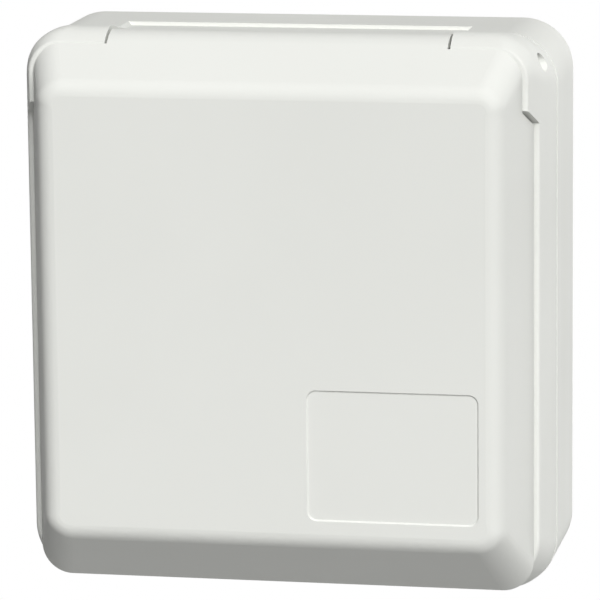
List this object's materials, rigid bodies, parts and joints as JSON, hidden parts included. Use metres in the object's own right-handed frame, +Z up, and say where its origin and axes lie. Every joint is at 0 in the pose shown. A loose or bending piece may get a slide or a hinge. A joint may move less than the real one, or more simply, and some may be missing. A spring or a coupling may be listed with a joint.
{
  "type": "outdoor weatherproof socket",
  "caption": "Surface-mounted splash-proof wall socket: rounded square box with a sprung, sloped hinged lid over a round pin-and-sleeve outlet.",
  "frame": {"origin": "centre of the box's back face, on the wall", "axes": "+X to the right seen from the front, +Y into the wall, +Z up"},
  "size_m": [0.14, 0.0653, 0.151],
  "materials": {
    "housing_plastic": "satin",
    "soft_rubber": "matt",
    "entry_rubber": "matt",
    "screw_steel": "zinc plated",
    "spring_steel": "drawn",
    "red_plastic": "satin",
    "insert_plastic": "satin",
    "contact_brass": "turned"
  },
  "bodies": {
    "housing": {"wall_box": "housing_plastic", "box_gasket": "soft_rubber", "front_frame": "housing_plastic", "frame_screws": "screw_steel", "hinge_pins": "spring_steel", "spring_right": "spring_steel", "spring_left": "spring_steel", "socket_body": "red_plastic", "socket_gasket": "soft_rubber", "socket_screws": "screw_steel", "contact_insert": "insert_plastic", "contact_earth": "contact_brass", "contact_line_one": "contact_brass", "contact_line_two": "contact_brass", "contact_line_three": "contact_brass", "contact_neutral": "contact_brass", "contact_rings": "spring_steel", "terminal_carrier": "insert_plastic", "terminal_screws": "screw_steel", "carrier_screw": "screw_steel", "cable_grommet": "entry_rubber", "blanking_plug": "housing_plastic"},
    "lid": {"lid": "housing_plastic", "lid_seal": "soft_rubber"}
  },
  "joints": [
    {"name": "lid_hinge", "type": "hinge", "parent": "housing", "child": "lid", "pos_m": [0, -0.0417, 0.0676], "axis": [-1, 0, 0], "range_deg": [0, 110], "stiffness_Nm_per_rad": 0.05, "springref_deg": -28.65, "deforming": ["spring_right", "spring_left"]}
  ]
}
